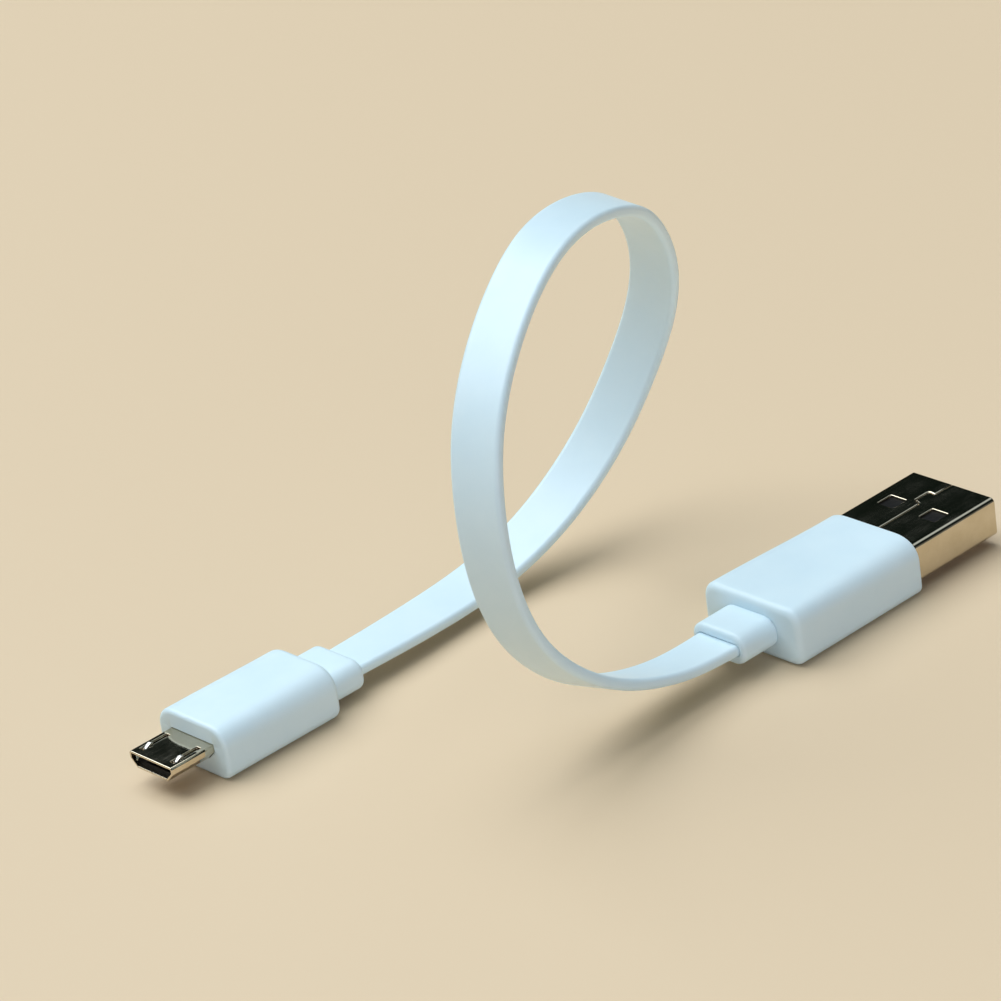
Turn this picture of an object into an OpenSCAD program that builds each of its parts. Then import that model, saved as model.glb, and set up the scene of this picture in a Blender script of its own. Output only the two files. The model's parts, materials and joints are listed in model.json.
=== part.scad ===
// Short flat charging cable: USB-A plug, standing loop of flat cord, Micro-B plug.
// Millimetres. +X runs along both plugs towards the USB-A tip, +Z is up, and the
// plugs rest on z = 0. The origin is the bottom centre of the box round the two plugs.

/* [Layout] */
// Length from the Micro-B tip to the USB-A tip, along X
overall_length = 88; // [86:0.5:92]
// Distance between the two plugs' axes, along Y
plug_spacing = 32.5; // [31:0.5:34]

/* [Flat cord] */
// Width of the flat cord
cord_w = 6.0; // [5.8:0.1:6.2]
// Thickness of the flat cord
cord_t = 1.3; // [1.3:0.05:1.4]
// Diameter across the corners of one insulated wire
wire_d = 0.9; // [0.7:0.05:0.9]

/* [USB-A plug] */
// Width of the metal shell
usb_a_shell_w = 12; // [11.9:0.05:12.1]
// Height of the metal shell
usb_a_shell_h = 4.5; // [4.4:0.05:4.6]
// Length of the shell that stands out of the grip
usb_a_exposed = 13.0; // [12:0.1:13.4]
// Thickness of the shell's sheet
usb_a_wall = 0.3; // [0.25:0.05:0.35]
// Length of the grip
usb_a_grip_l = 19.2; // [19:0.1:20]
// Width of the grip
usb_a_grip_w = 13.8; // [13.2:0.1:14.5]
// Height of the grip
usb_a_grip_h = 6.6; // [6.4:0.1:7]

/* [Micro-B plug] */
// Width of the metal shell
micro_b_shell_w = 6.85; // [6.8:0.05:6.9]
// Height of the metal shell
micro_b_shell_h = 1.8; // [1.75:0.05:1.85]
// Length of the shell that stands out of the grip
micro_b_exposed = 5.7; // [5.5:0.1:6]
// Thickness of the shell's sheet
micro_b_wall = 0.25; // [0.2:0.05:0.25]
// Length of the grip
micro_b_grip_l = 16; // [16:0.1:17]
// Width of the grip
micro_b_grip_w = 10.8; // [10:0.1:11]
// Height of the grip
micro_b_grip_h = 6.0; // [5.8:0.1:6.2]

/* [Strain reliefs] */
// Length of each strain relief outside its grip
relief_l = 5; // [4.5:0.1:5.5]
// Width of the USB-A strain relief
usb_a_relief_w = 7.6; // [7.2:0.1:8]
// Height of the USB-A strain relief
usb_a_relief_h = 3.6; // [3.2:0.1:3.8]
// Width of the Micro-B strain relief
micro_b_relief_w = 8; // [7.6:0.1:8.4]
// Height of the Micro-B strain relief
micro_b_relief_h = 3.6; // [3.2:0.1:3.8]

/* [Hidden] */

arc_fn = 48;          // facets asked of every round corner
cut = 0.5;            // how far a cutting shape runs past an open face
joint_gap = 0.05;     // clearance between pieces that slip past each other

// Places of the two plugs: the front face of each grip, on the shell's axis
plug_y_shift = (usb_a_grip_w - micro_b_grip_w) / 4;
usb_a_front = [overall_length / 2 - usb_a_exposed,
               plug_y_shift - plug_spacing / 2, usb_a_grip_h / 2];
micro_b_front = [micro_b_exposed - overall_length / 2,
                 plug_y_shift + plug_spacing / 2, micro_b_grip_h / 2];

// USB-A plug, measured from the grip's front face with +X towards the tip
usb_a_shell_in = 6;            // length of shell held inside the grip
usb_a_corner = 0.5;            // outside corner radius of the shell
usb_a_tongue_t = 1.9;          // thickness of the tongue
usb_a_tongue_front = usb_a_exposed - 0.5;
usb_a_window = [2.2, 2.3];     // latch window, along X and across
usb_a_window_back = 5.4;       // from the tip to the window's front edge
usb_a_window_y = 3.0;          // from the axis to the window's centre
seam_gap = 0.06;               // width of the seam between the shell's two edges
seam_y = 0.1;                  // the seam's distance from the axis
seam_key = [2.8, 2.5, 1.0];    // key of the seam: distance from tip, length, depth
seam_key_lean = [0.2, 0.4];    // how far the key's front and back sides lean forward
usb_a_contact_y = [-3.5, -1, 1, 3.5];
usb_a_contact_front = [1.0, 2.0, 2.0, 1.0];  // set back from the shell's tip
usb_a_contact = [1.0, 0.2];    // width and thickness of a contact
usb_a_tail = 8.4;              // end of the solder tails, behind the grip's front
usb_a_solder_r = 0.5;
usb_a_solder_l = 1.4;
usb_a_mould = [8.2, 11.6, 4.3];   // inner mould: length, width, height
usb_a_chamber = [7, 8.8, 2.2];    // hollow round the solder joints
usb_a_cord_end = 13;              // where the jacket ends, behind the grip's front
usb_a_tenon = [6.9, 2.6];         // strain relief's root inside the grip
usb_a_grip_r = 2.8;               // corner radius of the grip's section

// Micro-B plug, measured the same way
micro_b_shell_in = 3.3;
micro_b_bevel_low = 1.0;       // 45 degree bevel of the two lower corners
micro_b_bevel_top = 0.2;
micro_b_floor_t = 0.5;         // thickness of the tongue under the contacts
micro_b_tongue_front = micro_b_exposed - 0.5;
micro_b_tongue_back = 4.5;
micro_b_block_front = 0.5;     // front of the tongue's solid rear, behind the grip's front
micro_b_contact_y = [-1.3, -0.65, 0, 0.65, 1.3];
micro_b_contact = [0.35, 0.15];
micro_b_contact_front = 1.1;   // set back from the shell's tip
micro_b_tail = 6.6;
micro_b_solder_r = 0.42;
micro_b_solder_l = 1.2;
micro_b_mould = [7.7, 7.6, 3.4];
micro_b_chamber = [5.5, 5.8, 2.3];
micro_b_cord_end = 10;
micro_b_cord_drop = 0.6;       // the cord leaves this far below the shell's axis
micro_b_tenon = [7, 2.2];
micro_b_grip_r = 2.2;

// Latch arms of the Micro-B plug
latch_y = 2.45;                // from the axis to each arm's middle
latch_w = 0.5;
latch_t = 0.2;
latch_pivot = [-3, 0.5];       // x and z of the flexure
latch_front = 4.5;
latch_hook_top = 1.15;         // height of the hook's tip above the axis
latch_slot = [1.1, 4.8];       // slot in the shell's top wall, from and to

// Route of the flat cord's middle, from the Micro-B strain relief to the USB-A one:
// x, y, z and the lean of its width, in degrees, away from the Y direction
route = [
    [-17.5, 17, 2.4, 0], [-11, 17, 2.4, 4], [-3.5, 17.5, 2.2, 8], [4.5, 18, 2.4, 11],
    [12, 18, 4.2, 13], [18.5, 17.5, 7.8, 17], [24, 16.5, 13, 18], [27.5, 14.5, 20, 15],
    [28.5, 11.5, 27, 10], [27, 8.5, 34, 4], [23.5, 6, 40, 1], [18.5, 3, 45, -2],
    [12, 0.5, 48, -3], [5, -2, 49.5, -4], [-2, -5, 49.5, -6], [-8.5, -7.5, 47, -6],
    [-14.5, -10, 43, -8], [-19, -12, 37.5, -9], [-21.5, -14, 30.5, -9],
    [-21.5, -14.5, 23, -10], [-19.5, -15, 15.5, -11], [-14.5, -15.5, 9.5, -13],
    [-8, -15.5, 5.5, -10], [0, -15.5, 3.3, -5], [7, -15.5, 3.3, 0]
];
ring_step = 0.5;               // rings per span of the route: one every half span
wire_count = 4;
cell_w = 1.4;                  // spacing of the wires inside the jacket
channel_gap = 0.05;            // clearance between a wire and its channel
ring_sides = 8;

last = len(route) - 1;

// ---------------------------------------------------------------- shared shapes

module rounded_rect(w, h, r) {
    square([w - 2 * r, h], center = true);
    square([w, h - 2 * r], center = true);
    for (sx = [-1, 1], sy = [-1, 1])
        translate([sx * (w / 2 - r), sy * (h / 2 - r)])
            circle(r, $fn = arc_fn);
}

// Extrudes a Y-Z outline along X, from x = from to x = to
module along_x(from, to) {
    translate([from, 0, 0])
        rotate([90, 0, 90])
            linear_extrude(to - from)
                children();
}

module bar(from, to, w, h, z = 0) {
    translate([from, -w / 2, z - h / 2])
        cube([to - from, w, h]);
}

// A grip or a collar: rounded in section, with its two ends rounded as well
module soft_block(from, to, w, h, r, end_r) {
    l = to - from;
    intersection() {
        along_x(from, to) rounded_rect(w, h, r);
        translate([from + l / 2, 0, -h / 2])
            linear_extrude(h)
                rounded_rect(l, w, end_r);
        translate([from + l / 2, w / 2, 0])
            rotate([90, 0, 0])
                linear_extrude(w)
                    rounded_rect(l, h, end_r);
    }
}

module in_usb_a() {
    translate(usb_a_front)
        children();
}

module in_micro_b() {
    translate(micro_b_front)
        rotate([0, 0, 180])
            children();
}

// ---------------------------------------------------------------- USB-A plug

module usb_a_outline(inset) {
    rounded_rect(usb_a_shell_w - 2 * inset, usb_a_shell_h - 2 * inset, usb_a_corner - inset);
}

// Narrow slit through the top wall between two points in plan
module seam_slit(a, b) {
    along = b - a;
    translate([a[0], a[1], usb_a_shell_h / 2 - 2 * usb_a_wall])
        rotate([0, 0, atan2(along[1], along[0])])
            translate([-seam_gap / 2, -seam_gap / 2, 0])
                cube([norm(along) + seam_gap, seam_gap, 3 * usb_a_wall]);
}

module usb_a_seam() {
    key_front = usb_a_exposed - seam_key[0];
    key_back = key_front - seam_key[1];
    key_y = seam_y + seam_key[2];
    path = [
        [usb_a_exposed + cut, seam_y], [key_front, seam_y],
        [key_front + seam_key_lean[0], key_y], [key_back + seam_key_lean[1], key_y],
        [key_back, seam_y], [-usb_a_shell_in - cut, seam_y]
    ];
    for (i = [0 : len(path) - 2])
        seam_slit(path[i], path[i + 1]);
}

module usb_a_shell() {
    window_middle = usb_a_exposed - usb_a_window_back - usb_a_window[0] / 2;
    color("silver")
        in_usb_a()
            difference() {
                along_x(-usb_a_shell_in, usb_a_exposed) usb_a_outline(0);
                along_x(-usb_a_shell_in - cut, usb_a_exposed + cut) usb_a_outline(usb_a_wall);
                for (sy = [-1, 1])
                    translate([window_middle, sy * usb_a_window_y, 0])
                        cube([usb_a_window[0], usb_a_window[1], usb_a_shell_h + 2 * cut],
                             center = true);
                usb_a_seam();
            }
}

usb_a_inside_h = usb_a_shell_h - 2 * usb_a_wall;
usb_a_inside_w = usb_a_shell_w - 2 * usb_a_wall;
usb_a_tongue_z = usb_a_inside_h / 2 - usb_a_tongue_t;   // the tongue's lower face
usb_a_contact_z = usb_a_tongue_z + usb_a_contact[1] / 2;

module usb_a_contact_bar(i, from, to) {
    translate([0, usb_a_contact_y[i], 0])
        bar(from, to, usb_a_contact[0], usb_a_contact[1], usb_a_contact_z);
}

// Insulator: a full block at the back and a tongue under the shell's top wall
module usb_a_tongue() {
    corner = usb_a_corner - usb_a_wall;
    color("black")
        in_usb_a()
            difference() {
                along_x(-usb_a_shell_in, usb_a_tongue_front)
                    rounded_rect(usb_a_inside_w, usb_a_inside_h, corner);
                translate([0, -usb_a_shell_w / 2, -usb_a_shell_h])
                    cube([usb_a_exposed, usb_a_shell_w, usb_a_shell_h + usb_a_tongue_z]);
                for (i = [0 : 3])
                    usb_a_contact_bar(i, -usb_a_shell_in - cut,
                                      usb_a_exposed - usb_a_contact_front[i]);
            }
}

module usb_a_contact_strip(i) {
    color("gold")
        in_usb_a()
            usb_a_contact_bar(i, -usb_a_tail, usb_a_exposed - usb_a_contact_front[i]);
}

usb_a_wire_z = usb_a_tongue_z - 0.7 * usb_a_solder_r;

module usb_a_solder_joints() {
    color("darkgray")
        in_usb_a()
            for (i = [0 : 3])
                difference() {
                    translate([-usb_a_tail - 0.2, usb_a_contact_y[i], usb_a_wire_z])
                        rotate([0, 90, 0])
                            cylinder(r = usb_a_solder_r, h = usb_a_solder_l, $fn = arc_fn);
                    translate([0, usb_a_contact_y[i], 0])
                        bar(-usb_a_tail, 0, 2 * usb_a_contact[0], usb_a_contact[1],
                            usb_a_contact_z);
                }
}

module cord_slot(from, to) {
    bar(from, to, cord_w + 2 * joint_gap, cord_t + 2 * joint_gap);
}

// Hard moulding that closes the back of the shell over the solder joints
module usb_a_inner_mould() {
    back = -usb_a_shell_in - usb_a_mould[0];
    color("whitesmoke")
        in_usb_a()
            difference() {
                bar(back, -usb_a_shell_in, usb_a_mould[1], usb_a_mould[2]);
                bar(-usb_a_shell_in - usb_a_chamber[0], -usb_a_shell_in + cut,
                    usb_a_chamber[1], usb_a_chamber[2]);
                cord_slot(back - cut, -usb_a_cord_end + cut);
            }
}

module usb_a_tenon_bar(from, to) {
    bar(from, to, usb_a_tenon[0], usb_a_tenon[1]);
}

// Soft grip moulded over the shell, the inner mould and the strain relief's root
module usb_a_overmould() {
    mould_back = -usb_a_shell_in - usb_a_mould[0];
    color("aliceblue")
        in_usb_a()
            difference() {
                soft_block(-usb_a_grip_l, 0, usb_a_grip_w, usb_a_grip_h, usb_a_grip_r, 0.6);
                along_x(-usb_a_shell_in, cut) usb_a_outline(0);
                bar(mould_back, -usb_a_shell_in, usb_a_mould[1], usb_a_mould[2]);
                usb_a_tenon_bar(-usb_a_grip_l - cut, mould_back + cut);
            }
}

module usb_a_strain_relief() {
    mould_back = -usb_a_shell_in - usb_a_mould[0];
    end = -usb_a_grip_l - relief_l;
    color("aliceblue")
        in_usb_a()
            difference() {
                union() {
                    soft_block(end, -usb_a_grip_l, usb_a_relief_w, usb_a_relief_h, 1.3, 0.5);
                    usb_a_tenon_bar(-usb_a_grip_l - 1, mould_back);
                }
                cord_slot(end - cut, mould_back + cut);
            }
}

// ---------------------------------------------------------------- Micro-B plug

// Six straight sides and two bevels at the top: wide side up, narrow side down
module micro_b_outline(inset) {
    half = micro_b_shell_w / 2;
    top = micro_b_shell_h / 2;
    turn = (sqrt(2) - 1) * inset;
    side = [
        [half - micro_b_bevel_top - turn, top - inset],
        [half - inset, top - micro_b_bevel_top - turn],
        [half - inset, micro_b_bevel_low - top + turn],
        [half - micro_b_bevel_low - turn, inset - top]
    ];
    polygon(concat(side, [for (i = [3 : -1 : 0]) [-side[i][0], side[i][1]]]));
}

micro_b_inside_top = micro_b_shell_h / 2 - micro_b_wall;
micro_b_floor_z = micro_b_floor_t - micro_b_inside_top;   // top of the tongue's floor

module micro_b_shell() {
    color("silver")
        in_micro_b()
            difference() {
                along_x(-micro_b_shell_in, micro_b_exposed) micro_b_outline(0);
                along_x(-micro_b_shell_in - cut, micro_b_exposed + cut)
                    micro_b_outline(micro_b_wall);
                for (sy = [-1, 1])
                    translate([latch_slot[0], sy * latch_y - latch_w / 2 - 0.1, 0])
                        cube([latch_slot[1] - latch_slot[0], latch_w + 0.2,
                              micro_b_shell_h]);
            }
}

// Side view of a contact spring, with the raised spot that touches its mate
module micro_b_contact_profile(from) {
    front = micro_b_exposed - micro_b_contact_front;
    low = micro_b_floor_z;
    high = low + micro_b_contact[1];
    bump = 0.15;
    polygon([
        [from, low], [front, low], [front, high - 0.02], [front - 0.4, high],
        [front - 1.0, high + bump], [front - 1.8, high + bump], [front - 2.6, high],
        [from, high]
    ]);
}

module micro_b_contact_strip(i) {
    color("gold")
        in_micro_b()
            translate([0, micro_b_contact_y[i] + micro_b_contact[0] / 2, 0])
                rotate([90, 0, 0])
                    linear_extrude(micro_b_contact[0])
                        micro_b_contact_profile(-micro_b_tail);
}

// Insulator: a floor for the contacts and a block that closes the shell's back
module micro_b_tongue() {
    block_front = -micro_b_block_front;
    color("black")
        in_micro_b()
            difference() {
                along_x(-micro_b_tongue_back, micro_b_tongue_front)
                    micro_b_outline(micro_b_wall);
                translate([block_front, -micro_b_shell_w / 2, micro_b_floor_z])
                    cube([micro_b_exposed, micro_b_shell_w, micro_b_shell_h]);
                for (y = micro_b_contact_y)
                    translate([0, y, 0])
                        bar(-micro_b_tongue_back - cut, block_front + cut,
                            micro_b_contact[0], micro_b_contact[1],
                            micro_b_floor_z + micro_b_contact[1] / 2);
                for (sy = [-1, 1])
                    translate([latch_pivot[0] - joint_gap, sy * latch_y - latch_w / 2 - 0.1,
                               latch_pivot[1] - 0.6])
                        cube([micro_b_shell_in + cut, latch_w + 0.2, micro_b_shell_h]);
                micro_b_latch_base_bar();
            }
}

module micro_b_latch_base_bar() {
    bar(-micro_b_tongue_back + 0.2, latch_pivot[0] - joint_gap, 2 * latch_y + latch_w,
        latch_t, latch_pivot[1]);
}

// Root of the two latch arms, held between the tongue and the shell
module micro_b_latch_base() {
    color("silver")
        in_micro_b()
            micro_b_latch_base_bar();
}

// One latch arm: sy = 1 on the plug's left, seen from behind with the wide side up
module micro_b_latch_arm(sy) {
    top = latch_pivot[1] + latch_t / 2;
    color("silver")
        in_micro_b()
            translate([0, sy * latch_y + latch_w / 2, 0])
                rotate([90, 0, 0])
                    linear_extrude(latch_w)
                        polygon([
                            [latch_pivot[0], top - latch_t], [latch_front, top - latch_t],
                            [latch_front, top], [latch_front - 0.1, top + 0.2],
                            [latch_front - 0.8, latch_hook_top],
                            [latch_front - 1.1, latch_hook_top],
                            [latch_front - 1.2, top], [latch_pivot[0], top]
                        ]);
}

// Wires 1, 3 and 4 are soldered on top of their tails, wire 2 underneath
micro_b_wire_contact = [0, 1, 2, 4];
micro_b_wire_high = micro_b_floor_z + micro_b_contact[1] + 0.7 * micro_b_solder_r;
micro_b_wire_low = micro_b_floor_z - 0.7 * micro_b_solder_r;
function micro_b_wire_z(j) = j == 1 ? micro_b_wire_low : micro_b_wire_high;
function micro_b_wire_y(j) = micro_b_contact_y[micro_b_wire_contact[j]];

module micro_b_solder_joints() {
    color("darkgray")
        in_micro_b()
            for (j = [0 : 3])
                difference() {
                    translate([-micro_b_tail - 0.2, -micro_b_wire_y(j), micro_b_wire_z(j)])
                        rotate([0, 90, 0])
                            cylinder(r = micro_b_solder_r, h = micro_b_solder_l, $fn = arc_fn);
                    translate([0, -micro_b_wire_y(j), 0])
                        bar(-micro_b_tail, 0, 3 * micro_b_contact[0], micro_b_contact[1],
                            micro_b_floor_z + micro_b_contact[1] / 2);
                }
}

module micro_b_inner_mould() {
    back = -micro_b_shell_in - micro_b_mould[0];
    color("whitesmoke")
        in_micro_b()
            difference() {
                bar(back, -micro_b_shell_in, micro_b_mould[1], micro_b_mould[2]);
                bar(-micro_b_tongue_back - micro_b_chamber[0], -micro_b_tongue_back + 0.1,
                    micro_b_chamber[1], micro_b_chamber[2]);
                along_x(-micro_b_tongue_back, cut) micro_b_outline(micro_b_wall);
                translate([0, 0, -micro_b_cord_drop])
                    cord_slot(back - cut, -micro_b_cord_end + cut);
            }
}

module micro_b_tenon_bar(from, to) {
    bar(from, to, micro_b_tenon[0], micro_b_tenon[1], -micro_b_cord_drop);
}

module micro_b_overmould() {
    mould_back = -micro_b_shell_in - micro_b_mould[0];
    color("aliceblue")
        in_micro_b()
            difference() {
                soft_block(-micro_b_grip_l, 0, micro_b_grip_w, micro_b_grip_h,
                           micro_b_grip_r, 0.6);
                along_x(-micro_b_shell_in, cut) micro_b_outline(0);
                bar(mould_back, -micro_b_shell_in, micro_b_mould[1], micro_b_mould[2]);
                micro_b_tenon_bar(-micro_b_grip_l - cut, mould_back + cut);
            }
}

micro_b_relief_end = micro_b_front[0] - route[0][0];   // where the cord comes out

module micro_b_strain_relief() {
    mould_back = -micro_b_shell_in - micro_b_mould[0];
    color("aliceblue")
        in_micro_b()
            difference() {
                union() {
                    translate([0, 0, -micro_b_cord_drop])
                        soft_block(micro_b_relief_end, -micro_b_grip_l, micro_b_relief_w,
                                   micro_b_relief_h, 1.5, 0.8);
                    micro_b_tenon_bar(-micro_b_grip_l - 1, mould_back);
                }
                translate([0, 0, -micro_b_cord_drop])
                    cord_slot(micro_b_relief_end - cut, mould_back + cut);
            }
}

// ---------------------------------------------------------------- flat cord

function unit(v) = v / norm(v);
function place(p) = [p[0], p[1], p[2]];

// Route point i, with one more point past each end so that the ends run straight
function anchor(i) =
    i < 0 ? 2 * route[0] - route[1] :
    i > last ? 2 * route[last] - route[last - 1] :
    route[i];

// Uniform cubic B-spline over the route: its point and its direction at u
function spot(u) =
    let (i = min(floor(u), last - 1), f = u - i)
    (pow(1 - f, 3) * anchor(i - 1) + (3 * pow(f, 3) - 6 * f * f + 4) * anchor(i)
     + (3 * f + 3 * f * f - 3 * pow(f, 3) + 1) * anchor(i + 1)
     + pow(f, 3) * anchor(i + 2)) / 6;
function heading(u) =
    let (i = min(floor(u), last - 1), f = u - i)
    unit(place((3 * f * f - 4 * f) * anchor(i) - pow(1 - f, 2) * anchor(i - 1)
               + (1 + 2 * f - 3 * f * f) * anchor(i + 1) + f * f * anchor(i + 2)));

// One ring: its centre, the direction of the cord's width, and that of its thickness
function ring(u) =
    let (p = spot(u), t = heading(u), y = unit([0, 1, 0] - t * t[1]), x = cross(t, y),
         w = y * cos(p[3]) + x * sin(p[3]))
    [place(p), w, cross(t, w)];
function straight_ring(p) = [p, [0, 1, 0], [0, 0, 1]];

usb_a_end = [usb_a_front[0] - usb_a_cord_end, route[last][1], route[last][2]];
micro_b_end = [micro_b_front[0] + micro_b_cord_end, route[0][1], route[0][2]];
rings = concat(
    [straight_ring(micro_b_end)],
    [for (u = [0 : ring_step : last]) ring(u)],
    [straight_ring(usb_a_end)]
);

// A point of a ring, from its distances across the width and the thickness
function on_ring(r, q) = r[0] + q[0] * r[1] + q[1] * r[2];
function round_points(centre, d) =
    [for (k = [0 : ring_sides - 1])
        let (a = 360 * k / ring_sides) centre + d / 2 * [cos(a), sin(a)]];
function cell_x(j) = (j - (wire_count - 1) / 2) * cell_w;

// Outline of the jacket: two points for each wire along the top and the bottom, with
// the middle of each rounded edge at the ends
edge_round = 0.25;
line_count = 2 * wire_count;
function line_x(k) =
    k == 0 ? edge_round - cord_w / 2 :
    k == line_count ? cord_w / 2 - edge_round :
    (k - wire_count) * cell_w / 2;
jacket_outline = concat(
    [for (k = [0 : line_count]) [line_x(k), -cord_t / 2]],
    [[cord_w / 2, 0]],
    [for (k = [line_count : -1 : 0]) [line_x(k), cord_t / 2]],
    [[-cord_w / 2, 0]]
);
outline_count = len(jacket_outline);
jacket_section = concat(
    jacket_outline,
    [for (j = [0 : wire_count - 1])
        for (p = round_points([cell_x(j), 0], wire_d + 2 * channel_gap)) p]
);
section_count = len(jacket_section);

// Quads between two neighbouring rings, for the points first to first + count - 1
function wall(a, b, first, count) =
    [for (i = [0 : count - 1])
        let (p = first + i, q = first + (i + 1) % count)
        [a + p, b + p, b + q, a + q]];
function flip(faces) = [for (f = faces) [for (k = [len(f) - 1 : -1 : 0]) f[k]]];

// The eight points round cell j in an end face, in the order of its channel's points;
// extra is the index of the first point on the lines between cells
function cell_loop(j, base, extra) = [
    j == wire_count - 1 ? base + line_count + 1 : extra + j,
    base + 2 * line_count - 2 * j,
    base + 2 * line_count + 1 - 2 * j,
    base + 2 * line_count + 2 - 2 * j,
    j == 0 ? base + outline_count - 1 : extra + j - 1,
    base + 2 * j,
    base + 2 * j + 1,
    base + 2 * j + 2
];
function end_face(base, extra) =
    [for (j = [0 : wire_count - 1])
        let (loop = cell_loop(j, base, extra),
             hole = base + outline_count + j * ring_sides)
        for (k = [0 : ring_sides - 1])
            let (n = (k + 1) % ring_sides)
            [hole + k, loop[k], loop[n], hole + n]];
function cell_lines(r) = [for (j = [1 : wire_count - 1]) on_ring(r, [(j - 2) * cell_w, 0])];

module cord_jacket() {
    ring_total = len(rings);
    points = concat(
        [for (r = rings) for (q = jacket_section) on_ring(r, q)],
        cell_lines(rings[0]),
        cell_lines(rings[ring_total - 1])
    );
    extra = ring_total * section_count;
    sides = [for (n = [0 : ring_total - 2])
        let (a = n * section_count, b = a + section_count)
        for (f = concat(
            wall(a, b, 0, outline_count),
            flip([for (j = [0 : wire_count - 1])
                for (g = wall(a, b, outline_count + j * ring_sides, ring_sides)) g])
        )) f];
    faces = concat(
        sides,
        end_face(0, extra),
        flip(end_face((ring_total - 1) * section_count, extra + wire_count - 1))
    );
    color("aliceblue")
        polyhedron(points, faces);
}

// Centres of wire j's rings at each plug: straight out of the jacket, across, then
// straight into the solder joint
wire_lead = 0.4;
function wire_ends(j) = [
    [micro_b_front[0] + micro_b_tail + 0.2, micro_b_front[1] + micro_b_wire_y(j),
     micro_b_front[2] + micro_b_wire_z(j)],
    micro_b_end + [0, cell_x(j), 0],
    usb_a_end + [0, cell_x(j), 0],
    [usb_a_front[0] - usb_a_tail - 0.2, usb_a_front[1] + usb_a_contact_y[j],
     usb_a_front[2] + usb_a_wire_z]
];

module wire(j) {
    e = wire_ends(j);
    lead = [wire_lead, 0, 0];
    section = round_points([0, 0], wire_d);
    side_section = round_points([cell_x(j), 0], wire_d);
    points = concat(
        [for (c = [e[0], e[0] + lead, e[1] - lead])
            for (q = section) on_ring(straight_ring(c), q)],
        [for (r = rings) for (q = side_section) on_ring(r, q)],
        [for (c = [e[2] + lead, e[3] - lead, e[3]])
            for (q = section) on_ring(straight_ring(c), q)]
    );
    ring_total = len(points) / ring_sides;
    first = [for (k = [0 : ring_sides - 1]) k];
    end = [for (k = [ring_sides - 1 : -1 : 0]) (ring_total - 1) * ring_sides + k];
    sides = [for (n = [0 : ring_total - 2])
        for (f = wall(n * ring_sides, (n + 1) * ring_sides, 0, ring_sides)) f];
    polyhedron(points, concat(sides, [first, end]));
}

usb_a_shell();
usb_a_tongue();
usb_a_contact_strip(0);  // usb_a_contact_vbus
usb_a_contact_strip(1);  // usb_a_contact_data_minus
usb_a_contact_strip(2);  // usb_a_contact_data_plus
usb_a_contact_strip(3);  // usb_a_contact_ground
usb_a_solder_joints();
usb_a_inner_mould();
usb_a_overmould();
usb_a_strain_relief();
micro_b_shell();
micro_b_tongue();
micro_b_contact_strip(4);  // micro_b_contact_vbus
micro_b_contact_strip(3);  // micro_b_contact_data_minus
micro_b_contact_strip(2);  // micro_b_contact_data_plus
micro_b_contact_strip(1);  // micro_b_contact_id
micro_b_contact_strip(0);  // micro_b_contact_ground
micro_b_latch_base();
micro_b_latch_arm(1);  // micro_b_latch_left
micro_b_latch_arm(-1);  // micro_b_latch_right
micro_b_solder_joints();
micro_b_inner_mould();
micro_b_overmould();
micro_b_strain_relief();
cord_jacket();
color("red") wire(0);  // wire_red
color("white") wire(1);  // wire_white
color("green") wire(2);  // wire_green
color("black") wire(3);  // wire_black
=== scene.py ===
import json
import math

import bmesh
import bpy
import numpy as np
from mathutils import Matrix, Vector


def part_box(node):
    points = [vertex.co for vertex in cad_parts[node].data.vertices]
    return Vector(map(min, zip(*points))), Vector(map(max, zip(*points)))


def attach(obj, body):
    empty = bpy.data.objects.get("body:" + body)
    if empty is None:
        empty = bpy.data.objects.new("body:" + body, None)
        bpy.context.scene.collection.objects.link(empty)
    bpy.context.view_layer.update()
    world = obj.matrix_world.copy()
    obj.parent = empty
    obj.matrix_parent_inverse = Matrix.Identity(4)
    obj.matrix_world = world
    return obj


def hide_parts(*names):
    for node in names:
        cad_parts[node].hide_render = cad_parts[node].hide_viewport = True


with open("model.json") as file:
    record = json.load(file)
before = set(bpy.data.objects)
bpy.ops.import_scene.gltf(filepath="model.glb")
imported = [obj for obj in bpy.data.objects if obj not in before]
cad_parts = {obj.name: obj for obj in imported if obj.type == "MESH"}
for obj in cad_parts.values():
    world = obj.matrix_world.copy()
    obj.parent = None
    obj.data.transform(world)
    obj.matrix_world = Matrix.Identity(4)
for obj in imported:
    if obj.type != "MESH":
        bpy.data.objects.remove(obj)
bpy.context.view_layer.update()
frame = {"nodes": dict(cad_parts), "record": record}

# A short flat charging cable: USB-A plug, standing loop of flat cord, Micro-B plug.
# The frame is in metres. The sizes of the object's pieces are given in millimetres here.
MM = 0.001

# ------------------------------------------------------------------ camera
CAMERA_TARGET = Vector((0.0216, 0.0335, 0.0))
CAMERA_DISTANCE = 0.5659                  # metres
CAMERA_ELEVATION = math.radians(26.65)
CAMERA_HEADING = math.radians(40.15)      # from +Y towards +X
CAMERA_ROLL = math.radians(-8.31)
CAMERA_LENS = 180.24
CAMERA_SENSOR = 36.0
CAMERA_CLIP = (0.01, 20.0)                # metres


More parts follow.
